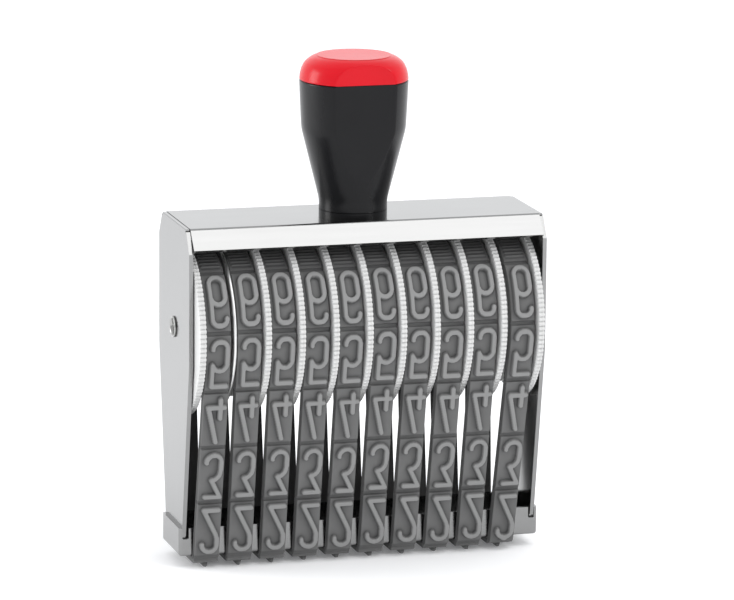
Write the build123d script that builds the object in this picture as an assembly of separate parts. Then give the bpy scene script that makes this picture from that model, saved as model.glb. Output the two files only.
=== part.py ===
from build123d import *
from math import asin, atan2, cos, degrees, hypot, pi, sin, sqrt
import os

# A ten-band rotary number stamp: rubber bands on thumb wheels, a steel frame and a handle.
# All lengths are millimetres. X runs along the wheel axle, Y from front to back, Z up.
# The origin is on the table under the middle of the printing characters.

# ---- end plates ----
PLATE_FACE = 67.5          # outer face of each end plate, measured from the middle
PLATE_T = 1.5
PLATE_INSIDE = PLATE_FACE - PLATE_T
TOP_Z = 126.3              # the roof rests on the plates' flanges here
PLATE_TOP = 127.3          # the plates stand beside the ends of the roof
TOP_HALF = 18.0            # half depth at the top
SHOULDER_Y = 23.0
SHOULDER_Z = 119.0
KNEE_Z = 77.7              # below the knee the plate tapers towards the tray
FOOT_Y = 12.3
FOOT_Z = 12.0
TONGUE_Y = 11.4            # the part of the plate that stands inside the tray
TONGUE_Z = 6.2
FLANGE_REACH = 11.0        # inward flange under the roof
FLANGE_HALF = 16.4
PLATE_EDGE_R = 0.4         # broken top edge
AXLE_SEAT_R = 3.55

# ---- roof ----
ROOF_T = 1.2
ROOF_Z = 127.5
ROOF_HALF_X = 65.9         # fits between the end plates
ROOF_HALF_Y = 18.3
FLAP_Y = 24.2
FLAP_Z = 119.8
ROOF_BEND = 1.1            # bend radius at the middle of the sheet
STUD_HOLE_R = 3.3

# ---- tray that the bands slide round at the bottom ----
TRAY_HALF_X = 68.7
TRAY_HALF_Y = 13.0
TRAY_T = 1.2
TRAY_BOTTOM = 4.55
TRAY_TOP = 15.1
TRAY_CORNER_R = 1.24
TRAY_BEND_R = 1.15
NOTCH_X = (65.1, 67.5)     # the notch that lets the end plate through the tray wall
NOTCH_Z = 11.0
NOTCH_R = 0.6

# ---- axle, wheels and bands ----
AXLE_Z = 88.0
AXLE_R = 3.0
AXLE_BORE = 2.2
LIP_R = 3.95               # flared lip over the outer face of each end plate
LIP_T = 0.78
BORE_R = 3.05              # running clearance of 0.05 on the axle
DRUM_R = 26.5
RIM_R = 32.45
RIM_ROOT_R = 31.85
RIM_W = 2.3
TEETH = 116
DRUM_LEFT = 4.7            # wheel ends, measured from the middle of its band
DRUM_RIGHT = 5.2
PITCH = 12.7
FIRST_BAND = -58.0         # this wheel is mirrored, with its rim on the left
SECOND_BAND = -46.45
LAST_BAND = 56.75
BAND_X = [FIRST_BAND] + [SECOND_BAND + PITCH * i for i in range(8)] + [LAST_BAND]

BAND_W = 9.8
BELT_T = 1.1
PLATE_RISE = 1.6           # raised plate on the belt
PLATE_W = 9.3
GROOVE = 1.4               # shallow groove between neighbouring plates
GROOVE_DEPTH = 0.9
CHAR_RISE = 1.7
BELT_R = 26.8              # inside of the belt on the wheel
TRAY_RUN_HALF = 13.15      # inside of the belt at the tray
TRAY_RUN_Z = 4.4
BELT_CORNER_R = 1.2
PLATES = 13
PHASE = 0.14               # how far the plates are wound on past the middle, in plates
CHAR_SHIFT = 0.6           # the characters stand a little to the right of their plates
TRAY_PITCH = 12.55         # the bands run a little closer together in the tray
SLIP = [0.1, 0.3, 0.1, -0.3, -0.5, 0.0, -0.2, -0.7, -0.5, -1.6]   # each band's own winding
LEAN_TOP = 82.0            # below this height a band leans towards its place in the tray

# ---- characters, drawn on the middle line of a stroke ----
STROKE = 1.6
CH = 8.2                   # half height of the middle line
CW = 2.7                   # half width of the middle line
BOWL = 2.6
CURL = 2.2                 # the tighter bends of the 5 and the 6

# ---- spacers ----
DISC_X = (-52.65, -51.45)
DISC_R = 30.4              # stands a little proud of the bands
SPACER_X = (50.3, 51.5)
WASHER_X = (64.6, 66.0)
SPACER_R = 9.0

# ---- handle ----
COLLAR_TOP = 129.0
HANDLE_TOP = 177.0
HANDLE_PROFILE = [(12.55, 132.7), (19.15, 159.0), (19.6, 168.0), (20.0, HANDLE_TOP)]
HANDLE_BASE_R = 12.55
FLAT_TIP_Z = 141.7         # the front and rear flats start here
FLAT_TIP_Y = 14.8
FLAT_TOP_Y = 16.2
CAP_TOP = 186.0
CAP_PROFILE = [(20.0, 177.0), (19.7, 179.3), (19.1, 181.4), (17.9, 183.4), (15.9, 184.95)]
CAP_FLAT_R = 12.6          # the flat top of the cap
PLUG_R = 12.0
PLUG_DEPTH = 3.0
STUD_R = 3.0
STUD_Z = (121.3, 150.0)
NUT_AF = 10.0
NUT_T = 2.9
LOCK_WASHER_T = 1.0


def slab(profile, x0, x1):
    """A front-to-back profile given thickness from x0 to x1."""
    return extrude(Plane.YZ.offset(x0) * profile, x1 - x0, dir=(1, 0, 0))


def tube(outer, inner, x0, x1, z=AXLE_Z):
    """A ring round the axle line."""
    ring = Circle(outer) - Circle(inner)
    return slab(Pos(0, z) * ring, x0, x1)


def end_plate(side):
    """Stamped side plate with a flange inside it under the roof; side is -1 or +1."""
    half = [
        (TOP_HALF, PLATE_TOP),
        (SHOULDER_Y, SHOULDER_Z),
        (SHOULDER_Y, KNEE_Z),
        (FOOT_Y, FOOT_Z),
        (TONGUE_Y, FOOT_Z),
        (TONGUE_Y, TONGUE_Z),
    ]
    left_half = [(-y, z) for y, z in reversed(half)]
    outline = Polygon(*half, *left_half, align=None)
    outline -= Pos(0, AXLE_Z) * Circle(AXLE_SEAT_R)
    plate = slab(outline, PLATE_INSIDE, PLATE_FACE)
    flange = Box(FLANGE_REACH, 2 * FLANGE_HALF, PLATE_T)
    plate += Pos(PLATE_FACE - FLANGE_REACH / 2, 0, TOP_Z - PLATE_T / 2) * flange
    relief = Box(2 * PLATE_T, 1.0, 2.0)
    for y in (-TOP_HALF, TOP_HALF):
        plate -= Pos(PLATE_FACE, y, PLATE_TOP) * relief
    edge = plate.edges().filter_by(Axis.Y).sort_by(lambda e: -e.center().X - e.center().Z)[0]
    plate = fillet(edge, PLATE_EDGE_R)
    if side < 0:
        plate = mirror(plate, about=Plane.YZ)
    return plate


def roof_cover():
    """Folded sheet that closes the top, with a sloping flap at the front and the rear."""
    line = FilletPolyline(
        (-FLAP_Y + 0.48, FLAP_Z + 0.36),
        (-ROOF_HALF_Y + 0.3, ROOF_Z - ROOF_T / 2),
        (ROOF_HALF_Y - 0.3, ROOF_Z - ROOF_T / 2),
        (FLAP_Y - 0.48, FLAP_Z + 0.36),
        radius=ROOF_BEND,
    )
    roof = slab(trace(line, ROOF_T), -ROOF_HALF_X, ROOF_HALF_X)
    roof -= Pos(0, 0, ROOF_Z) * Cylinder(STUD_HOLE_R, 6)
    return roof


def band_tray():
    """Open tray under the wheels; its rounded long edges are the track the bands slide on."""
    height = TRAY_TOP - TRAY_BOTTOM
    outer = extrude(RectangleRounded(2 * TRAY_HALF_X, 2 * TRAY_HALF_Y, TRAY_CORNER_R), height)
    outer = fillet(outer.faces().sort_by(Axis.Z)[0].edges(), TRAY_BEND_R)
    inner = Box(2 * (TRAY_HALF_X - TRAY_T), 2 * (TRAY_HALF_Y - TRAY_T), height)
    tray = Pos(0, 0, TRAY_BOTTOM) * outer
    tray -= Pos(0, 0, TRAY_BOTTOM + TRAY_T + height / 2) * inner
    width = NOTCH_X[1] - NOTCH_X[0]
    notch = Box(width, 3 * TRAY_HALF_Y, 2 * (TRAY_TOP - NOTCH_Z))
    notch = fillet(notch.edges().filter_by(Axis.Y), NOTCH_R)
    for side in (-1, 1):
        tray -= Pos(side * (NOTCH_X[0] + width / 2), 0, TRAY_TOP) * notch
    return tray


def axle():
    """Hollow axle, belled out in the end plates and flared over their outer faces."""
    half = [
        (AXLE_R, 0),
        (AXLE_R, PLATE_INSIDE),
        (AXLE_SEAT_R, PLATE_INSIDE + 0.4),
        (AXLE_SEAT_R, PLATE_FACE),
        (LIP_R, PLATE_FACE),
        (LIP_R, PLATE_FACE + LIP_T),
        (LIP_R - 0.65, PLATE_FACE + LIP_T),
        (AXLE_SEAT_R - 0.75, PLATE_INSIDE - 0.4),
        (AXLE_BORE, PLATE_INSIDE - 0.9),
        (AXLE_BORE, 0),
    ]
    profile = Polygon(*half, align=None)
    profile += mirror(profile, about=Plane.XZ)
    spun = revolve(profile, axis=Axis.Y)
    return Pos(0, 0, AXLE_Z) * Rot(Z=90) * spun


def knurled_disc():
    """Outline of a wheel rim with V-shaped teeth."""
    points = []
    for i in range(2 * TEETH):
        angle = pi * i / TEETH
        radius = RIM_R if i % 2 == 0 else RIM_ROOT_R
        points.append((radius * cos(angle), AXLE_Z + radius * sin(angle)))
    return Polygon(*points, align=None)


def thumb_wheel(x, rim_side):
    """A wheel with a smooth drum for its band and a knurled rim beside it."""
    rim_near = x + rim_side * DRUM_RIGHT
    rim_far = x + rim_side * (DRUM_RIGHT + RIM_W)
    drum_far = x - rim_side * DRUM_LEFT
    wheel = slab(knurled_disc(), min(rim_near, rim_far), max(rim_near, rim_far))
    wheel += slab(Pos(0, AXLE_Z) * Circle(DRUM_R), min(drum_far, rim_near), max(drum_far, rim_near))
    wheel -= slab(Pos(0, AXLE_Z) * Circle(BORE_R), x - 10, x + 10)
    return wheel


def loop_shape(offset):
    """The outline of the band at a distance outside the inner face of the belt."""
    drum = Pos(0, AXLE_Z) * Circle(BELT_R + offset)
    corner = Circle(BELT_CORNER_R + offset)
    y = TRAY_RUN_HALF - BELT_CORNER_R
    z = TRAY_RUN_Z + BELT_CORNER_R
    corners = [Pos(side * y, z) * corner for side in (-1, 1)]
    return make_hull(drum.edges() + corners[0].edges() + corners[1].edges())


def half_loop():
    """Middle line of the belt from the bottom, up the front, to the top of the wheel."""
    drum_r = BELT_R + BELT_T / 2
    corner_r = BELT_CORNER_R + BELT_T / 2
    y = TRAY_RUN_HALF - BELT_CORNER_R
    z = TRAY_RUN_Z + BELT_CORNER_R
    reach = hypot(y, AXLE_Z - z)
    tilt = degrees(asin((drum_r - corner_r) / reach) - atan2(y, AXLE_Z - z))
    bottom = Line((0, z - corner_r), (-y, z - corner_r))
    corner = CenterArc((-y, z), corner_r, 270, tilt - 90)
    over_wheel = CenterArc((0, AXLE_Z), drum_r, 180 + tilt, -90 - tilt)
    straight = Line(corner @ 1, over_wheel @ 0)
    return Wire([bottom.edge(), corner.edge(), straight.edge(), over_wheel.edge()])


def loop_plane(steps):
    """Plane on the band, a number of plates on from the bottom, facing outwards.

    Steps count up the front, over the wheel and down the rear.
    """
    path = half_loop()
    along = (2 * steps / PLATES) % 2
    side = 1 if along <= 1 else -1
    point = path @ min(along, 2 - along)
    tangent = path % min(along, 2 - along)
    outward = (0, -side * tangent.Y, tangent.X)
    return Plane(origin=(0, side * point.X, point.Y), x_dir=(1, 0, 0), z_dir=outward)


def stroke(*points, radius=None):
    """A bent bar with round ends."""
    line = FilletPolyline(*points, radius=radius) if radius else Polyline(*points)
    mark = trace(line, STROKE)
    for end in (points[0], points[-1]):
        mark += Pos(*end) * Circle(STROKE / 2)
    return mark


def ring_bowl(low, high):
    """A closed bowl between two heights of the middle line."""
    height = high - low
    outside = RectangleRounded(2 * CW + STROKE, height + STROKE, CW + STROKE / 2 - 0.05)
    inside = RectangleRounded(2 * CW - STROKE, height - STROKE, CW - STROKE / 2 - 0.05)
    return Pos(0, (low + high) / 2) * (outside - inside)


def digit_0():
    return ring_bowl(-CH, CH)


def digit_1():
    return stroke((0, -CH), (0, CH))


def digit_2():
    hook = stroke((-CW, 5.4), (-CW, CH), (CW, CH), (CW, 3.0), radius=BOWL)
    return hook + stroke((CW, 3.4), (CW - 0.5, 1.6), (-CW, -CH), (CW, -CH))


def digit_3():
    shoulder = [(-0.6, 1.6), (0.9, 1.3), (2.3, -0.4), (CW, -2.6)]
    bowl = stroke(*shoulder, (CW, -CH), (-CW, -CH), (-CW, -5.4), radius=BOWL)
    return bowl + stroke((-CW, CH), (CW, CH), (-0.6, 1.6))


def digit_4():
    diagonal = stroke((0, CH), (-3.2, -5.2), (CW, -5.2))
    return diagonal + stroke((1.2, -1.0), (1.2, -CH))


def digit_5():
    arch = [(-CW, 0.0), (-1.4, 2.2), (1.2, 2.2), (CW, 0.2)]
    bowl = stroke(*arch, (CW, -CH), (-CW, -CH), (-CW, -5.9), radius=CURL)
    return bowl + stroke((CW, CH), (-CW, CH), (-CW, 0.0))


def digit_6():
    stem = stroke((-CW, -4.0), (-CW, CH), (CW, CH), (CW, 5.9), radius=CURL)
    return ring_bowl(-CH, 1.3) + stem


def digit_7():
    return stroke((-CW, CH), (CW, CH), (-1.2, -CH))


def digit_8():
    return ring_bowl(-CH, 0.4) + ring_bowl(0.4, CH)


def digit_9():
    return Rot(Z=180) * digit_6()


def dash():
    return stroke((-CW + 0.4, 0), (CW - 0.4, 0))


def ribs():
    """Fine cross ribs that fill a plate without a character."""
    marks = Sketch()
    for i in range(-5, 6):
        marks += Pos(0, 1.6 * i) * Rectangle(6.6, 0.7)
    return marks


def band_marks(start):
    """The raised characters of one band, in order from the bottom and up the front."""
    order = [digit_1, digit_2, digit_3, digit_4, digit_5, digit_6, ribs,
             digit_7, digit_8, digit_9, digit_0, dash]
    over = slab(loop_shape(BELT_T + PLATE_RISE + CHAR_RISE), -PLATE_W / 2, PLATE_W / 2)
    over -= slab(loop_shape(BELT_T + PLATE_RISE / 2), -PLATE_W, PLATE_W)
    low = slab(loop_shape(BELT_T + PLATE_RISE + 0.5), -PLATE_W / 2, PLATE_W / 2)
    marks = []
    for number, draw in enumerate(order):
        face = mirror(draw(), about=Plane.XZ)
        place = loop_plane(number + start) * Pos(CHAR_SHIFT, 0)
        solid = extrude(place * face, 12, dir=loop_plane(number + start).z_dir)
        limit = over & low if draw is ribs else over
        marks.append(solid & limit)
    return marks


def rubber_band(slip, lean):
    """Endless belt with thirteen raised plates and their characters, centred on x = 0.

    Slip winds the plates on by a length; lean is how far the band moves sideways at the tray.
    """
    start = PHASE + slip / (2 * half_loop().length / PLATES)
    belt_top = loop_shape(BELT_T)
    belt = slab(belt_top - loop_shape(0), -BAND_W / 2, BAND_W / 2)
    plates = slab(loop_shape(BELT_T + PLATE_RISE) - belt_top, -PLATE_W / 2, PLATE_W / 2)
    floor = BELT_T / 2 + PLATE_RISE - GROOVE_DEPTH
    for number in range(PLATES):
        groove = loop_plane(number + start + 0.5) * Pos(0, 0, floor + 4) * Box(20, GROOVE, 8)
        plates -= groove
    band = belt + plates
    for mark in band_marks(start):
        band += mark
    return leaning(band, lean)


def leaning(band, lean):
    """Slant the runs between wheel and tray so that the band reaches its place in the tray."""
    if abs(lean) < 0.05:
        return band
    below = Pos(0, 0, LEAN_TOP - 100) * Box(200, 200, 200)
    slope = -lean / LEAN_TOP
    slant = Matrix([[1, 0, slope, -slope * LEAN_TOP], [0, 1, 0, 0], [0, 0, 1, 0]])
    lower = (band & below).transform_geometry(slant)
    return (band - below) + lower


def handle_blank(profile, bottom_z, top_z, bottom_r, top_r):
    """Round solid from a list of radii and heights."""
    points = [(0, bottom_z), (bottom_r, bottom_z)] + profile + [(top_r, top_z), (0, top_z)]
    return revolve(Plane.XZ * Polygon(*points, align=None), axis=Axis.Z)


def flat_cutters():
    """Two leaning blocks that leave the front and rear flats."""
    slope = (FLAT_TOP_Y - FLAT_TIP_Y) / (HANDLE_TOP - FLAT_TIP_Z)
    low = FLAT_TIP_Y - slope * 30
    high = FLAT_TIP_Y + slope * 60
    section = Polygon((low, FLAT_TIP_Z - 30), (60, FLAT_TIP_Z - 30), (60, FLAT_TIP_Z + 60),
                      (high, FLAT_TIP_Z + 60), align=None)
    rear = slab(section, -40, 40)
    return [rear, mirror(rear, about=Plane.XZ)]


def handle_body():
    """Tapered grip with two flats, a pocket for the cap and a bore for the stud."""
    body = handle_blank(HANDLE_PROFILE, COLLAR_TOP, HANDLE_TOP, HANDLE_BASE_R, HANDLE_PROFILE[-1][0])
    for cutter in flat_cutters():
        body -= cutter
    body -= Pos(0, 0, HANDLE_TOP - PLUG_DEPTH / 2) * Cylinder(PLUG_R, PLUG_DEPTH)
    body -= Pos(0, 0, COLLAR_TOP + 11) * Cylinder(STUD_R + 0.05, 22)
    return body


def handle_cap():
    """Domed cap with a flat top and a round plug underneath."""
    cap = handle_blank(CAP_PROFILE, HANDLE_TOP, CAP_TOP, CAP_PROFILE[0][0], CAP_FLAT_R)
    for cutter in flat_cutters():
        cap -= cutter
    plug_height = PLUG_DEPTH - 0.1
    cap += Pos(0, 0, HANDLE_TOP - plug_height / 2) * Cylinder(PLUG_R - 0.05, plug_height)
    return cap


def handle_collar():
    """Thin ring between the roof and the grip."""
    ring = Cylinder(HANDLE_BASE_R, COLLAR_TOP - ROOF_Z) - Cylinder(STUD_HOLE_R, 10)
    return Pos(0, 0, (COLLAR_TOP + ROOF_Z) / 2) * ring


def handle_stud():
    """Steel rod that holds the handle to the roof."""
    length = STUD_Z[1] - STUD_Z[0]
    return Pos(0, 0, (STUD_Z[0] + STUD_Z[1]) / 2) * Cylinder(STUD_R, length)


def handle_washer():
    """Washer between the roof and the nut."""
    ring = Cylinder(6.5, LOCK_WASHER_T) - Cylinder(STUD_R + 0.2, 10)
    return Pos(0, 0, TOP_Z - LOCK_WASHER_T / 2) * ring


def handle_nut():
    """Thin hexagon nut under the roof, clear of the wheels."""
    face = RegularPolygon(NUT_AF / sqrt(3), 6) - Circle(STUD_R + 0.05)
    return Pos(0, 0, TOP_Z - LOCK_WASHER_T - NUT_T) * extrude(face, NUT_T)


def build_all():
    """Every named piece of the stamp."""
    pieces = {
        "end_plate_left": end_plate(-1),
        "end_plate_right": end_plate(1),
        "roof_cover": roof_cover(),
        "band_tray": band_tray(),
        "axle": axle(),
        "guide_disc": tube(DISC_R, AXLE_R + 0.02, *DISC_X),
        "wheel_spacer": tube(SPACER_R, AXLE_R + 0.02, *SPACER_X),
        "end_washer": tube(SPACER_R, AXLE_R + 0.02, *WASHER_X),
        "handle_collar": handle_collar(),
        "handle_body": handle_body(),
        "handle_cap": handle_cap(),
        "handle_stud": handle_stud(),
        "handle_washer": handle_washer(),
        "handle_nut": handle_nut(),
    }
    for number, x in enumerate(BAND_X, start=1):
        rim_side = -1 if number == 1 else 1
        lean = SECOND_BAND + TRAY_PITCH * (number - 2) - x
        pieces[f"band_{number:02d}"] = Pos(x, 0, 0) * rubber_band(SLIP[number - 1], lean)
        pieces[f"wheel_{number:02d}"] = thumb_wheel(x, rim_side)
    return pieces


os.makedirs("parts", exist_ok=True)
for node, piece in build_all().items():
    export_step(piece, f"parts/{node}.step")
    print(node, round(piece.volume, 1), len(piece.solids()))
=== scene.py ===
"""A ten-band rotary number stamp on a white table, in soft studio light.

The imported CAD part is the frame. The sheet parts, the small steel parts and the collar keep
their CAD solids and get softly broken edges. The bands, wheels, guide disc, axle, grip and cap
are replaced by finer meshes of the same size. Lengths below are millimetres in the part's own
frame, unless a comment says metres, and become metres in make_mesh.
"""
from math import asin, atan2, cos, hypot, pi, radians, sin, tan

import bpy
import numpy as np
from mathutils import Matrix, Vector


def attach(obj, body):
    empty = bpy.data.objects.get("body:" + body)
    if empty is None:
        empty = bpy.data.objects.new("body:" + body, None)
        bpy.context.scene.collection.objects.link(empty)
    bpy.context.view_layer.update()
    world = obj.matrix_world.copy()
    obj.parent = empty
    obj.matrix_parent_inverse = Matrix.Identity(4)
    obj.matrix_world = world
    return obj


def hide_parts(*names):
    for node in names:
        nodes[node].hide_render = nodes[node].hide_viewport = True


MM = 0.001

BAND_STEP = (0.25, 0.45)   # spacing of the band's grid
TOOTH_SIDES = (8, 5)       # segments per tooth
HANDLE_SIDES = 288

# ---- camera ----
CAMERA_AT = (-479.9, -1687.3, 461.4)
CAMERA_RIGHT = (0.961556, -0.274500, 0.008114)
CAMERA_UP = (0.048556, 0.199023, 0.978788)
CAMERA_LENS = 238.7
CAMERA_SHIFT_X = 0.0029

# ---- wheels, guide disc and axle ----
AXLE_Z = 88.0
DRUM_R = 26.5
BORE_R = 3.05
RIM_R = 32.45
RIM_W = 2.3
CROWN_DEPTH = 1.2          # the teeth are cut into this much of the rim
TOOTH_DEPTH = 0.95
TOOTH_POWER = 0.6          # below 1 the teeth have flat tops and narrow valleys
TEETH = 116
DRUM_LEFT = 4.7
DRUM_RIGHT = 5.2           # the rim starts here
PITCH = 12.7
BAND_X = [-58.0] + [-46.45 + PITCH * i for i in range(8)] + [56.75]

DISC_X = (-52.65, -51.45)
DISC_R = 30.4
DISC_BORE = 3.02

# (radius, x) along the right end of the axle: outside, then back into its mouth
AXLE_OUTSIDE = [(3.0, 66.0), (3.1, 66.08), (3.4, 66.36), (3.52, 66.5), (3.52, 67.52),
                (3.85, 67.55), (3.95, 67.7), (3.95, 68.0), (3.85, 68.2)]
AXLE_MOUTH = [(3.6, 68.28), (3.3, 68.2), (3.1, 67.9), (2.95, 67.2), (2.85, 65.7), (2.2, 65.2)]

# ---- bands ----
BELT_HALF = 4.9
BELT_T = 1.1
BELT_R = 26.8              # inner face of the belt over the wheel
BELT_CORNER_R = 1.2        # and round the long edges of the tray
TRAY_RUN_HALF = 13.15      # half depth of the run under the tray
TRAY_RUN_Z = 4.4           # height of the belt's inner face there
PLATES = 13
PLATE_RISE = 1.6
PLATE_HALF = 4.75          # at its foot
GROOVE = 1.4
GROOVE_DEPTH = 0.9
RIBBED_PLATE = 6           # counted from 0 at the bottom and up the front
RIB_PITCH = 1.6
RIB_RISE = 0.45
RIBBED_HALF = (3.6, 9.2)   # half width and half height of the ribbed field
CHAR_RISE = 1.7
BELT_PAINTED_SHADE = 0.3            # painted shade of the belt's inner face, see band_surface
PHASE = 0.14               # how far the first plate is wound up from the bottom, in plates
CHAR_SHIFT = 0.3           # the characters stand a little to the right of their plates' middle
TRAY_PITCH = 12.55         # the bands run a little closer together in the tray
LEAN_TOP = 82.0            # below this height a band leans towards its place in the tray
SLIP = [0.1, 0.3, 0.1, -0.3, -0.5, 0.0, -0.2, -0.7, -0.5, -1.6]   # each band's own winding

STROKE_TOP = 0.74          # half width of a character's stroke at its face
STROKE_FOOT = 1.02         # and where it meets the plate
CH = 8.2                   # half height of a character, to the middle of its stroke
CW = 2.7                   # half width
BOWL = 2.6                 # radius of a bowl
CURL = 2.2                 # radius of a tighter curl

# ---- handle ----
FOOT_Z = 129.0             # the grip stands on its collar
SEAM_Z = 177.0             # the cap starts here
BODY_PROFILE = [(12.55, FOOT_Z), (12.55, 132.7), (19.15, 159.0), (19.6, 168.0), (20.0, SEAM_Z)]
CAP_PROFILE = [(20.0, SEAM_Z), (19.7, 179.3), (19.1, 181.4), (17.9, 183.4), (15.9, 184.95),
               (13.8, 185.8), (12.4, 186.0), (0.0, 186.0)]
FLAT_TIP = (14.8, 141.7)   # distance from the axis and height, where a flat runs out
FLAT_TOP = (16.2, SEAM_Z)
FLAT_BLEND = 0.18          # softness of the edge between a flat and the round

# ---- edges of the sheet and turned parts that keep their CAD solids ----
SHEET_EDGES = {"end_plate_left": 0.28, "end_plate_right": 0.28, "roof_cover": 0.2,
               "band_tray": 0.18}
STEEL_PARTS = ("wheel_spacer", "end_washer", "handle_stud", "handle_washer", "handle_nut")
STEEL_EDGE = 0.1
COLLAR_EDGE = 0.15

# ---- studio, in metres and watts: place, aim, size, power ----
LIGHTS = {
    "overhead": ((0.40, -0.60, 1.32), (0, 0, 0.12), (0.9, 0.85), 6.0),
    "right_key": ((1.25, -1.15, 0.85), (0, 0, 0.06), (0.5, 0.5), 6.5),
    "left_card": ((-1.2, 0.45, 0.4), (0, 0, 0.15), (0.5, 0.7), 6.5),
}
WORLD_FRONT = 0.7
WORLD_BACK = 1.35

# ---- table ----
TABLE_SIZE = 6000.0
TABLE_Z = -0.02
TABLE_CELLS = 8


def make_mesh(name, points, faces):
    """Smooth-shaded object from millimetre points and faces."""
    mesh = bpy.data.meshes.new(name)
    mesh.from_pydata([tuple(c * MM for c in p) for p in points], [], faces)
    mesh.validate()
    mesh.polygons.foreach_set("use_smooth", [True] * len(mesh.polygons))
    mesh.update()
    piece = bpy.data.objects.new(name, mesh)
    bpy.context.scene.collection.objects.link(piece)
    return piece


def skin(rings, close_rings=False):
    """Faces between rings of equal length; each ring is closed on itself."""
    count = len(rings[0])
    points = [p for ring in rings for p in ring]
    faces = []
    last = len(rings) if close_rings else len(rings) - 1
    for i in range(last):
        here = i * count
        there = ((i + 1) % len(rings)) * count
        for j in range(count):
            k = (j + 1) % count
            faces.append((here + j, here + k, there + k, there + j))
    return points, faces


# ---------------------------------------------------------------- band path


def path_data():
    """Tilt of the straight runs and the lengths of the parts of half a loop."""
    neutral = BELT_T / 2
    y = TRAY_RUN_HALF - BELT_CORNER_R
    z = TRAY_RUN_Z + BELT_CORNER_R
    reach = hypot(y, AXLE_Z - z)
    tilt = asin((BELT_R - BELT_CORNER_R) / reach) - atan2(y, AXLE_Z - z)
    normal = (-cos(tilt), -sin(tilt))
    low = (-y + BELT_CORNER_R * normal[0], z + BELT_CORNER_R * normal[1])
    high = (BELT_R * normal[0], AXLE_Z + BELT_R * normal[1])
    flat = y
    corner = (pi / 2 - tilt) * (BELT_CORNER_R + neutral)
    straight = hypot(high[0] - low[0], high[1] - low[1])
    wheel = (pi / 2 + tilt) * (BELT_R + neutral)
    return {"y": y, "z": z, "tilt": tilt, "normal": normal, "low": low, "high": high,
            "flat": flat, "corner": corner, "straight": straight, "wheel": wheel,
            "half": flat + corner + straight + wheel}


PATH = path_data()
PLATE_PITCH = 2 * PATH["half"] / PLATES


def on_band(s, off):
    """(y, z) at a length s up the front from the bottom and off outside the belt's inner face."""
    half = PATH["half"]
    s = (s + half) % (2 * half) - half
    side = -1 if s < 0 else 1
    s = abs(s)
    neutral = BELT_T / 2
    if s < PATH["flat"]:
        y, z = -s, TRAY_RUN_Z - off
    elif s < PATH["flat"] + PATH["corner"]:
        angle = -pi / 2 - (s - PATH["flat"]) / (BELT_CORNER_R + neutral)
        y = -PATH["y"] + (BELT_CORNER_R + off) * cos(angle)
        z = PATH["z"] + (BELT_CORNER_R + off) * sin(angle)
    elif s < PATH["half"] - PATH["wheel"]:
        t = (s - PATH["flat"] - PATH["corner"]) / PATH["straight"]
        y = PATH["low"][0] + t * (PATH["high"][0] - PATH["low"][0]) + off * PATH["normal"][0]
        z = PATH["low"][1] + t * (PATH["high"][1] - PATH["low"][1]) + off * PATH["normal"][1]
    else:
        angle = pi / 2 + (PATH["half"] - s) / (BELT_R + neutral)
        y = (BELT_R + off) * cos(angle)
        z = AXLE_Z + (BELT_R + off) * sin(angle)
    return side * y, z


# ---------------------------------------------------------------- characters


def bent(*corners, radius=BOWL, steps=8):
    """A polyline whose inner corners are rounded."""
    line = [corners[0]]
    for before, corner, after in zip(corners, corners[1:], corners[2:]):
        a = Vector(before) - Vector(corner)
        b = Vector(after) - Vector(corner)
        half_angle = a.angle(b) / 2
        cut = radius / tan(half_angle)
        a.normalize()
        b.normalize()
        centre = Vector(corner) + (a + b).normalized() * (radius / sin(half_angle))
        start = Vector(corner) + a * cut - centre
        end = Vector(corner) + b * cut - centre
        for i in range(steps + 1):
            ray = start.lerp(end, i / steps).normalized() * radius
            line.append(tuple(centre + ray))
    line.append(corners[-1])
    return line


def bowl(low, high):
    """A closed bowl between two heights."""
    middle = (low + high) / 2
    return bent((CW, middle), (CW, high), (-CW, high), (-CW, low), (CW, low), (CW, middle))


def digit_2():
    hook = bent((-CW, 5.4), (-CW, CH), (CW, CH), (CW, 3.0))
    return [hook, [(CW, 3.4), (CW - 0.5, 1.6), (-CW, -CH), (CW, -CH)]]


def digit_3():
    shoulder = [(-0.6, 1.6), (0.9, 1.3), (2.3, -0.4), (CW, -2.6)]
    curl = bent(*shoulder, (CW, -CH), (-CW, -CH), (-CW, -5.4))
    return [curl, [(-CW, CH), (CW, CH), (-0.6, 1.6)]]


def digit_4():
    return [[(0, CH), (-3.2, -5.2), (CW, -5.2)], [(1.2, -1.0), (1.2, -CH)]]


def digit_5():
    arch = [(-CW, 0.0), (-1.4, 2.2), (1.2, 2.2), (CW, 0.2)]
    curl = bent(*arch, (CW, -CH), (-CW, -CH), (-CW, -5.9), radius=CURL)
    return [curl, [(CW, CH), (-CW, CH), (-CW, 0.0)]]


def digit_6():
    stem = bent((-CW, -4.0), (-CW, CH), (CW, CH), (CW, 5.9), radius=CURL)
    return [bowl(-CH, 1.3), stem]


def digit_9():
    return [[(-x, -y) for x, y in line] for line in digit_6()]


def band_characters():
    """Stroke lines of every plate, from the bottom and up the front."""
    one = [[(0, -CH), (0, CH)]]
    seven = [[(-CW, CH), (CW, CH), (-1.2, -CH)]]
    eight = [bowl(-CH, 0.4), bowl(0.4, CH)]
    zero = [bowl(-CH, CH)]
    dash = [[(-CW + 0.4, 0), (CW - 0.4, 0)]]
    return [one, digit_2(), digit_3(), digit_4(), digit_5(), digit_6(), [],
            seven, eight, digit_9(), zero, dash, []]


def stroke_distance(x, y, lines):
    """Distance from points to the nearest stroke's middle line."""
    best = np.full(x.shape, 99.0)
    for line in lines:
        for (ax, ay), (bx, by) in zip(line, line[1:]):
            dx, dy = bx - ax, by - ay
            t = np.clip(((x - ax) * dx + (y - ay) * dy) / (dx * dx + dy * dy + 1e-9), 0, 1)
            best = np.minimum(best, np.hypot(x - ax - t * dx, y - ay - t * dy))
    return best


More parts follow.
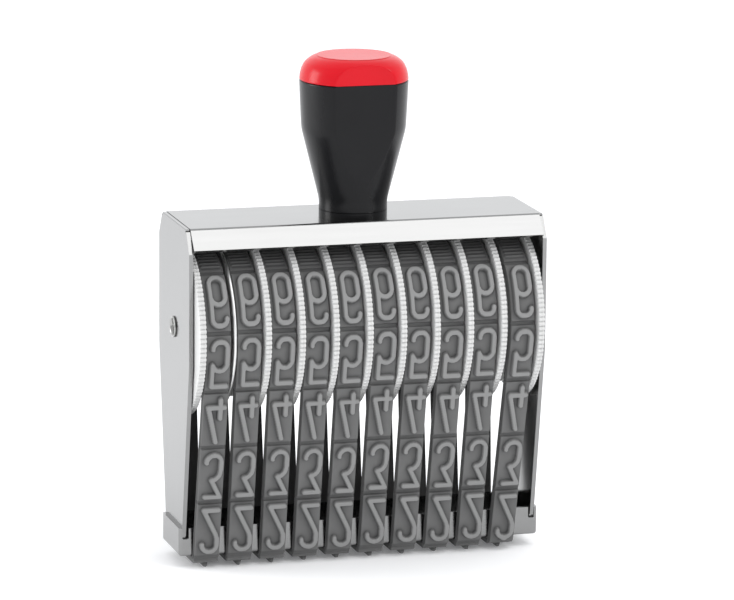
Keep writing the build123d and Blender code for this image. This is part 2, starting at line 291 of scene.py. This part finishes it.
def ramp(t):
    """Smooth step from 0 to 1."""
    t = np.clip(t, 0, 1)
    return t * t * (3 - 2 * t)


def band_surface(s, x, start):
    """Height above the belt's inner face, and painted shading, at lengths s and places x.

    The painted shading is 0 in the creases, where shade is painted, 0.5 on a plate and 1 on the
    face of a character, where a highlight is painted; the belt beside the plates, the grooves and
    the valleys of the ribbed field are painted darker as shade.
    """
    turn = s / PLATE_PITCH - start + 0.5
    number = np.floor(turn).astype(int) % PLATES
    v = (turn - np.floor(turn) - 0.5) * PLATE_PITCH
    side = ramp((PLATE_HALF - np.abs(x)) / 0.3)
    groove = ramp((GROOVE / 2 + 0.2 - (PLATE_PITCH / 2 - np.abs(v))) / 0.4)
    height = BELT_T + PLATE_RISE * side
    height = np.maximum(height - GROOVE_DEPTH * groove, BELT_T)
    # painted shade: the belt beside the plates and the floor of each groove are darker
    painted_shading = (0.3 + 0.2 * side) * (1 - 0.3 * groove)
    for index, lines in enumerate(band_characters()):
        here = number == index
        if index == RIBBED_PLATE:
            rib = np.cos(2 * pi * v / RIB_PITCH) > 0.25
            inside = here & (np.abs(v) < RIBBED_HALF[1]) & (np.abs(x) < RIBBED_HALF[0])
            height = np.where(inside & rib, height + RIB_RISE, height)
            # painted shade in the valleys between the ribs
            painted_shading = np.where(inside & ~rib, 0.3, painted_shading)
        elif lines:
            distance = stroke_distance(x - CHAR_SHIFT, -v, lines)
            rise = ramp((STROKE_FOOT - distance) / (STROKE_FOOT - STROKE_TOP))
            # painted shade in the crease at each stroke's foot, painted highlight on the stroke's
            # face
            crease = np.exp(-np.abs(distance - STROKE_FOOT) / 0.45) * (1 - rise)
            height = np.where(here, height + CHAR_RISE * rise, height)
            shade = painted_shading * (1 - 0.65 * crease) + (1 - painted_shading) * rise ** 3
            painted_shading = np.where(here, shade, painted_shading)
    return height, painted_shading


def band_stations(start):
    """Lengths along the loop where the skin has a ring, closer at grooves and tray corners."""
    half = PATH["half"]
    step = BAND_STEP[0]
    stations = list(np.arange(-half, half, step))
    corner = PATH["flat"] + PATH["corner"] / 2
    for middle in (-corner, corner):
        stations += list(np.arange(middle - 1.6, middle + 1.6, 0.12))
    for plate in range(PLATES):
        groove = (plate + start + 0.5) * PLATE_PITCH
        for d in (-0.9, -0.8, -0.7, -0.6, -0.5, 0.5, 0.6, 0.7, 0.8, 0.9):
            stations.append((groove + d + half) % (2 * half) - half)
    return np.array(sorted(set(round(float(s), 3) for s in stations)))


def band_mesh(slip, lean):
    """One endless rubber band as a closed skin, centred on x = 0, and its painted shading per
    point.

    Slip winds the plates on by a length; lean moves the band sideways at the tray.
    """
    start = PHASE + slip / PLATE_PITCH
    stations = band_stations(start)
    inner = np.arange(-4.25, 4.26, BAND_STEP[0])
    rim = [4.45, 4.55, 4.65, 4.75, 4.84, BELT_HALF]
    across = np.array([-x for x in reversed(rim)] + list(inner) + rim)
    s_grid, x_grid = np.meshgrid(stations, across, indexing="ij")
    height, painted_shading = band_surface(s_grid, x_grid, start)
    height[:, 0] = height[:, -1] = BELT_T - 0.12
    rings = []
    painted_shading_values = []
    for i, s in enumerate(stations):
        foot = on_band(s, 0.0)
        top = on_band(s, 1.0)
        normal = (top[0] - foot[0], top[1] - foot[1])
        line = list(zip(across, height[i]))
        line += [(BELT_HALF, 0.12), (BELT_HALF - 0.12, 0.0)]
        line += [(-BELT_HALF + 0.12, 0.0), (-BELT_HALF, 0.12)]
        ring = []
        for x, h in line:
            z = foot[1] + normal[1] * h
            sideways = lean * max(0.0, LEAN_TOP - z) / LEAN_TOP
            ring.append((x + sideways, foot[0] + normal[0] * h, z))
        rings.append(ring)
        # painted shading per point; the four points of the belt's inner face and edges take its
        # painted shade
        painted_shading_values += list(painted_shading[i]) + [BELT_PAINTED_SHADE] * 4
    return skin(rings, close_rings=True), painted_shading_values


# ---------------------------------------------------------------- turned pieces


def turned(profile, segments=256, radius_at=None):
    """Skin of a ring turned about the axle; the profile is a closed list of (radius, x)."""
    rings = []
    for i in range(segments):
        angle = 2 * pi * i / segments
        ring = []
        for r, x in profile:
            radius = radius_at(r, x, angle) if radius_at else r
            ring.append((x, radius * cos(angle), AXLE_Z + radius * sin(angle)))
        rings.append(ring)
    return skin(rings, close_rings=True)


def wheel_mesh(rim_side):
    """Drum with a knurled rim, centred on its band; rim_side is -1 or +1."""
    near = DRUM_RIGHT
    far = DRUM_RIGHT + RIM_W
    mid = (near + far) / 2
    crown = [(RIM_R - CROWN_DEPTH, near), (RIM_R - 0.2, near + 0.02), (RIM_R - 0.06, near + 0.12),
             (RIM_R, near + 0.3), (RIM_R, mid - 0.3), (RIM_R - 0.16, mid),
             (RIM_R, mid + 0.3), (RIM_R, far - 0.3), (RIM_R - 0.06, far - 0.12),
             (RIM_R - 0.2, far - 0.02), (RIM_R - CROWN_DEPTH, far)]
    drum = [(BORE_R, -DRUM_LEFT), (DRUM_R - 0.2, -DRUM_LEFT), (DRUM_R, -DRUM_LEFT + 0.2),
            (DRUM_R, near - 0.25), (DRUM_R + 0.1, near - 0.06), (DRUM_R + 0.3, near)]
    web = [(DRUM_R, far), (10.0, far), (BORE_R, far)]
    profile = [(r, rim_side * x) for r, x in drum + crown + web]

    def knurl(r, x, angle):
        tooth = abs(sin(TEETH * angle / 2)) ** TOOTH_POWER
        depth = TOOTH_DEPTH * ramp(r - RIM_R + CROWN_DEPTH)
        return r - depth * (1 - tooth)

    per_tooth = TOOTH_SIDES[0]
    return turned(profile, TEETH * per_tooth, knurl)


def disc_mesh():
    """Guide disc with a half-round edge."""
    x0, x1 = DISC_X
    half = (x1 - x0) / 2
    middle = (x0 + x1) / 2
    profile = [(DISC_BORE, x0)]
    for i in range(9):
        angle = pi * i / 8
        profile.append((DISC_R - half + half * sin(angle), middle - half * cos(angle)))
    profile.append((DISC_BORE, x1))
    return turned(profile)


def axle_mesh():
    """Hollow axle whose ends are flared over the outer faces of the end plates."""
    right = AXLE_OUTSIDE + AXLE_MOUTH
    left = [(r, -x) for r, x in reversed(right)]
    return turned(right + left, 96)


# ---------------------------------------------------------------- handle


def interpolate(profile, z):
    """Radius at a height, along straight runs between the given points."""
    for (r0, z0), (r1, z1) in zip(profile, profile[1:]):
        if z <= z1:
            return r0 + (r1 - r0) * (z - z0) / max(z1 - z0, 1e-6)
    return profile[-1][0]


def soft_min(a, b, width):
    """The smaller of two lengths, blended over a width."""
    h = max(width - abs(a - b), 0) / width
    return min(a, b) - h * h * width / 4


def flat_distance(z):
    """How far the front and rear flats stand from the handle's axis."""
    slope = (FLAT_TOP[0] - FLAT_TIP[0]) / (FLAT_TOP[1] - FLAT_TIP[1])
    return FLAT_TIP[0] + slope * (z - FLAT_TIP[1])


def handle_ring(radius, z):
    """Outline of the grip at one height: round, cut by the two flats."""
    ring = []
    for i in range(HANDLE_SIDES):
        angle = 2 * pi * i / HANDLE_SIDES
        reach = abs(sin(angle))
        r = radius
        if reach > 0.2:
            r = soft_min(radius, flat_distance(z) / reach, FLAT_BLEND)
        ring.append((r * cos(angle), r * sin(angle), z))
    return ring


def close_skin(rings):
    """Skin with a fan at each end."""
    points, faces = skin(rings)
    count = len(rings[0])
    for ring, turn in ((rings[0], 1), (rings[-1], -1)):
        start = 0 if turn == 1 else len(points) - count
        z = ring[0][2]
        points.append((0, 0, z))
        middle = len(points) - 1
        for j in range(count):
            k = (j + 1) % count
            face = (start + j, middle, start + k) if turn == 1 else (start + k, middle, start + j)
            faces.append(face)
    return points, faces


def body_mesh():
    """The black grip, with rings closer together at its rounded foot and top."""
    heights = [FOOT_Z, 129.04, 129.12, 129.25] + list(np.arange(129.6, 176.2, 0.6))
    heights += [176.4, 176.6, 176.75, 176.85]
    rings = []
    for z in heights:
        r = 0.0
        for d in (-1.5, -0.9, -0.4, 0, 0.4, 0.9, 1.5):
            r += interpolate(BODY_PROFILE, min(max(z + d, FOOT_Z), SEAM_Z)) / 7
        rounding = max(0, 129.25 - z) ** 2 * 3 + max(0, z - 176.55) ** 2 * 2.6
        rings.append(handle_ring(r - rounding, z))
    rings.insert(0, handle_ring(3.2, FOOT_Z))
    rings.append(handle_ring(12.0, 176.87))
    return close_skin(rings)


def smooth_profile(profile, t):
    """Point on a rounded line through a profile, by a Catmull-Rom curve."""
    spans = len(profile) - 1
    i = min(int(t * spans), spans - 1)
    u = t * spans - i
    p = [profile[min(max(k, 0), spans)] for k in (i - 1, i, i + 1, i + 2)]
    place = []
    for c in (0, 1):
        a, b, d, e = (q[c] for q in p)
        value = 0.5 * (2 * b + (d - a) * u + (2 * a - 5 * b + 4 * d - e) * u * u
                       + (3 * b - a - 3 * d + e) * u ** 3)
        place.append(value)
    return place


def cap_mesh():
    """The domed cap."""
    steps = 60
    rings = [handle_ring(8.0, SEAM_Z), handle_ring(19.55, SEAM_Z)]
    rings.append(handle_ring(19.8, 177.06))
    rings.append(handle_ring(19.93, 177.25))
    for i in range(1, steps + 1):
        t = i / steps
        place = smooth_profile(CAP_PROFILE, t)
        if place[1] > 177.3 and place[0] > 0.4:
            rings.append(handle_ring(place[0], min(place[1], CAP_PROFILE[-1][1])))
    return close_skin(rings)


# ---------------------------------------------------------------- materials


def new_material(name, color, roughness, metallic=0.0):
    """A material with its node tree and its shader."""
    material = bpy.data.materials.new(name)
    material.use_nodes = True
    shader = material.node_tree.nodes["Principled BSDF"]
    shader.inputs["Base Color"].default_value = (*color, 1.0)
    shader.inputs["Roughness"].default_value = roughness
    shader.inputs["Metallic"].default_value = metallic
    return material, material.node_tree, shader


def object_noise(tree, scale, stretch=(1, 1, 1), detail=4.0):
    """Noise in object coordinates, scaled per metre and stretched along the axes."""
    place = tree.nodes.new("ShaderNodeTexCoord")
    mapping = tree.nodes.new("ShaderNodeMapping")
    mapping.inputs["Scale"].default_value = stretch
    noise = tree.nodes.new("ShaderNodeTexNoise")
    noise.inputs["Scale"].default_value = scale
    noise.inputs["Detail"].default_value = detail
    tree.links.new(place.outputs["Object"], mapping.inputs["Vector"])
    tree.links.new(mapping.outputs["Vector"], noise.inputs["Vector"])
    return noise.outputs["Fac"]


def remap(tree, value, low, high):
    """Value from 0..1 to low..high."""
    node = tree.nodes.new("ShaderNodeMapRange")
    node.inputs["To Min"].default_value = low
    node.inputs["To Max"].default_value = high
    tree.links.new(value, node.inputs["Value"])
    return node.outputs["Result"]


def tint(tree, shader, value, dark, light):
    """Blend the base colour between two colours by a value."""
    mix = tree.nodes.new("ShaderNodeMix")
    mix.data_type = "RGBA"
    mix.inputs["A"].default_value = (*dark, 1.0)
    mix.inputs["B"].default_value = (*light, 1.0)
    tree.links.new(value, mix.inputs["Factor"])
    tree.links.new(mix.outputs["Result"], shader.inputs["Base Color"])


def bump(tree, shader, value, strength, distance):
    """Fine relief from a value; distance in metres."""
    node = tree.nodes.new("ShaderNodeBump")
    node.inputs["Strength"].default_value = strength
    node.inputs["Distance"].default_value = distance
    tree.links.new(value, node.inputs["Height"])
    tree.links.new(node.outputs["Normal"], shader.inputs["Normal"])


def frame_steel():
    """Nickel-plated sheet: faint rolling grain and a slightly uneven polish."""
    material, tree, shader = new_material("frame_steel", (0.275, 0.275, 0.273), 0.17, 1.0)
    grain = object_noise(tree, 60.0, (0.25, 6.0, 6.0), 6.0)
    haze = object_noise(tree, 45.0, detail=3.0)
    tree.links.new(remap(tree, haze, 0.12, 0.21), shader.inputs["Roughness"])
    tint(tree, shader, grain, (0.26, 0.26, 0.258), (0.29, 0.29, 0.288))
    bump(tree, shader, grain, 0.06, 0.00004)
    return material


def wheel_white():
    """White moulded plastic, satin, a little yellowed and scuffed in patches."""
    material, tree, shader = new_material("wheel_white", (0.65, 0.65, 0.64), 0.38)
    shader.inputs["Specular IOR Level"].default_value = 0.35
    haze = object_noise(tree, 90.0, detail=5.0)
    grain = object_noise(tree, 2400.0, detail=2.0)
    tree.links.new(remap(tree, haze, 0.30, 0.46), shader.inputs["Roughness"])
    tint(tree, shader, haze, (0.62, 0.62, 0.61), (0.70, 0.70, 0.695))
    bump(tree, shader, grain, 0.12, 0.00004)
    return material


def disc_steel():
    """Bright satin steel of the guide disc."""
    material, tree, shader = new_material("disc_steel", (0.82, 0.82, 0.81), 0.42, 1.0)
    haze = object_noise(tree, 160.0)
    tree.links.new(remap(tree, haze, 0.36, 0.5), shader.inputs["Roughness"])
    tint(tree, shader, haze, (0.76, 0.76, 0.75), (0.88, 0.88, 0.87))
    return material


def axle_steel():
    """Plain turned steel, dulled by oil."""
    material, tree, shader = new_material("axle_steel", (0.40, 0.40, 0.39), 0.22, 1.0)
    haze = object_noise(tree, 220.0, (1.0, 0.2, 0.2))
    tree.links.new(remap(tree, haze, 0.15, 0.3), shader.inputs["Roughness"])
    tint(tree, shader, haze, (0.33, 0.33, 0.32), (0.47, 0.47, 0.46))
    return material


def band_rubber():
    """Matt grey rubber with random dust, and painted shading: painted shade in the creases and
    grooves, painted highlight on the faces of the characters.
    """
    material, tree, shader = new_material("band_rubber", (0.1, 0.1, 0.1), 0.6)
    shader.inputs["Specular IOR Level"].default_value = 0.3
    grain = object_noise(tree, 2600.0, detail=3.0)
    dust = object_noise(tree, 120.0, detail=5.0)
    # the bands' painted shading, stored on their points
    painted_shading = tree.nodes.new("ShaderNodeAttribute")
    painted_shading.attribute_name = "painted_shading"
    shade_and_dust = tree.nodes.new("ShaderNodeMath")
    shade_and_dust.operation = "ADD"
    shade_and_dust.use_clamp = True
    tree.links.new(painted_shading.outputs["Fac"], shade_and_dust.inputs[0])
    tree.links.new(remap(tree, dust, -0.08, 0.08), shade_and_dust.inputs[1])
    # base colour from the painted shading (shade and highlight) plus random dust
    tint(tree, shader, shade_and_dust.outputs["Value"], (0.028, 0.028, 0.028), (0.25, 0.25, 0.248))
    tree.links.new(remap(tree, dust, 0.5, 0.68), shader.inputs["Roughness"])
    bump(tree, shader, grain, 0.25, 0.00005)
    return material


def handle_black():
    """Satin black moulded plastic."""
    material, tree, shader = new_material("handle_black", (0.006, 0.006, 0.007), 0.3)
    shader.inputs["Specular IOR Level"].default_value = 0.2
    grain = object_noise(tree, 3200.0, detail=2.0)
    haze = object_noise(tree, 60.0)
    tree.links.new(remap(tree, haze, 0.20, 0.29), shader.inputs["Roughness"])
    tint(tree, shader, haze, (0.004, 0.004, 0.005), (0.009, 0.009, 0.010))
    bump(tree, shader, grain, 0.12, 0.00003)
    return material


def cap_red():
    """Satin red moulded plastic."""
    material, tree, shader = new_material("cap_red", (0.62, 0.004, 0.012), 0.3)
    shader.inputs["Specular IOR Level"].default_value = 0.2
    grain = object_noise(tree, 3000.0, detail=2.0)
    haze = object_noise(tree, 60.0)
    tree.links.new(remap(tree, haze, 0.20, 0.29), shader.inputs["Roughness"])
    tint(tree, shader, haze, (0.57, 0.003, 0.010), (0.66, 0.005, 0.015))
    bump(tree, shader, grain, 0.1, 0.00003)
    return material


def table_white():
    """Plain white table top, faintly lit from beneath like a studio light table."""
    material, tree, shader = new_material("table_white", (0.93, 0.93, 0.935), 0.9)
    shader.inputs["Emission Color"].default_value = (0.97, 0.98, 1.0, 1.0)
    shader.inputs["Emission Strength"].default_value = 0.14
    return material


# ---------------------------------------------------------------- assembly


def dress(node, material, width):
    """Give a part that keeps its CAD solid its material and softly broken edges."""
    node.data.materials.clear()
    node.data.materials.append(material)
    edges = node.modifiers.new("edges", "BEVEL")
    edges.width = width * MM
    edges.segments = 3
    edges.limit_method = "ANGLE"
    edges.angle_limit = radians(35)
    edges.harden_normals = True
    smooth = [True] * len(node.data.polygons)
    node.data.polygons.foreach_set("use_smooth", smooth)


def adopt(piece, node, body, x):
    """Put a piece in place of its CAD node, on its body."""
    piece.location.x = x * MM
    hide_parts(node)
    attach(piece, body)


def place_piece(name, shape, material, node, body, x=0.0):
    """A finer mesh that stands for one CAD node and rides on its body."""
    piece = make_mesh(name, *shape)
    piece.data.materials.append(material)
    adopt(piece, node, body, x)
    return piece


def copy_piece(source, name, node, body, x):
    """Another object with the same mesh."""
    piece = bpy.data.objects.new(name, source.data)
    bpy.context.scene.collection.objects.link(piece)
    adopt(piece, node, body, x)


def add_bands(material):
    """Ten bands, each with its own winding and lean."""
    for number, x in enumerate(BAND_X, start=1):
        lean = BAND_X[1] + TRAY_PITCH * (number - 2) - x
        shape, painted_shading_values = band_mesh(SLIP[number - 1], lean)
        piece = place_piece(f"rubber_{number:02d}", shape, material, f"band_{number:02d}",
                            "frame", x)
        # painted shade and highlight for the rubber's colour, stored on the points
        painted_shading = piece.data.attributes.new("painted_shading", "FLOAT", "POINT")
        painted_shading.data.foreach_set("value", painted_shading_values)


def add_wheels(material):
    """Ten thumb wheels; the first is mirrored and the others share one mesh."""
    plain = None
    for number, x in enumerate(BAND_X, start=1):
        node = f"wheel_{number:02d}"
        body = node + "_body"
        name = f"thumb_wheel_{number:02d}"
        if number == 1:
            place_piece(name, wheel_mesh(-1), material, node, body, x)
        elif plain is None:
            plain = place_piece(name, wheel_mesh(1), material, node, body, x)
        else:
            copy_piece(plain, name, node, body, x)


def add_light(name, at, aim, size, power):
    """A soft white rectangular light."""
    lamp = bpy.data.lights.new(name, "AREA")
    lamp.shape = "RECTANGLE"
    lamp.size, lamp.size_y = size
    lamp.energy = power
    light = bpy.data.objects.new(name, lamp)
    bpy.context.scene.collection.objects.link(light)
    light.location = at
    direction = Vector(aim) - Vector(at)
    light.rotation_euler = direction.to_track_quat("-Z", "Y").to_euler()


def add_table(material):
    """A large flat table top, just under the stamp."""
    count = TABLE_CELLS
    points = []
    faces = []
    for i in range(count + 1):
        for j in range(count + 1):
            x = (i / count - 0.5) * TABLE_SIZE
            y = (j / count - 0.5) * TABLE_SIZE
            points.append((x, y, TABLE_Z))
    for i in range(count):
        for j in range(count):
            a = i * (count + 1) + j
            faces.append((a, a + count + 1, a + count + 2, a + 1))
    table = make_mesh("table", points, faces)
    table.data.materials.append(material)


def add_camera():
    """Long lens from the front left, a little above the stamp."""
    right = Vector(CAMERA_RIGHT)
    up = Vector(CAMERA_UP)
    back = right.cross(up)
    data = bpy.data.cameras.new("camera")
    data.sensor_width = 36.0
    data.lens = CAMERA_LENS
    data.shift_x = CAMERA_SHIFT_X
    data.clip_end = 50.0
    camera = bpy.data.objects.new("camera", data)
    turn = Matrix((right, up, back)).transposed().to_4x4()
    camera.matrix_world = Matrix.Translation(Vector(CAMERA_AT) * MM) @ turn
    bpy.context.scene.collection.objects.link(camera)
    bpy.context.scene.camera = camera


def add_world(front, back):
    """Studio surround that grows brighter from the front to the back of the set."""
    world = bpy.data.worlds.new("studio")
    world.use_nodes = True
    tree = world.node_tree
    background = tree.nodes["Background"]
    background.inputs["Color"].default_value = (0.975, 0.985, 1.0, 1.0)
    place = tree.nodes.new("ShaderNodeTexCoord")
    split = tree.nodes.new("ShaderNodeSeparateXYZ")
    level = tree.nodes.new("ShaderNodeMapRange")
    level.inputs["From Min"].default_value = -0.8
    level.inputs["From Max"].default_value = 0.9
    level.inputs["To Min"].default_value = front
    level.inputs["To Max"].default_value = back
    tree.links.new(place.outputs["Generated"], split.inputs["Vector"])
    tree.links.new(split.outputs["Y"], level.inputs["Value"])
    tree.links.new(level.outputs["Result"], background.inputs["Strength"])
    bpy.context.scene.world = world


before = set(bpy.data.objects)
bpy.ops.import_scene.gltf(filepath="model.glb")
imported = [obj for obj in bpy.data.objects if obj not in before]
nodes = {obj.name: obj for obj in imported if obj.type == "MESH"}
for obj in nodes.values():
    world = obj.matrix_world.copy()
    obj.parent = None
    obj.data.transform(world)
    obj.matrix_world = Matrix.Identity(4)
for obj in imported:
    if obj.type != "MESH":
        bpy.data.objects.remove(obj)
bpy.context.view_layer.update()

steel = frame_steel()
white = wheel_white()
plain_steel = axle_steel()
rubber = band_rubber()
black = handle_black()
red = cap_red()

for part, width in SHEET_EDGES.items():
    dress(nodes[part], steel, width)
for part in STEEL_PARTS:
    dress(nodes[part], plain_steel, STEEL_EDGE)
dress(nodes["handle_collar"], black, COLLAR_EDGE)

add_bands(rubber)
add_wheels(white)
place_piece("band_guide", disc_mesh(), disc_steel(), "guide_disc", "frame")
place_piece("axle_tube", axle_mesh(), plain_steel, "axle", "frame")
place_piece("grip", body_mesh(), black, "handle_body", "frame")
place_piece("grip_cap", cap_mesh(), red, "handle_cap", "frame")

add_table(table_white())
add_world(WORLD_FRONT, WORLD_BACK)
for light_name, setting in LIGHTS.items():
    add_light(light_name, *setting)
add_camera()
bpy.context.scene.view_settings.view_transform = "Standard"
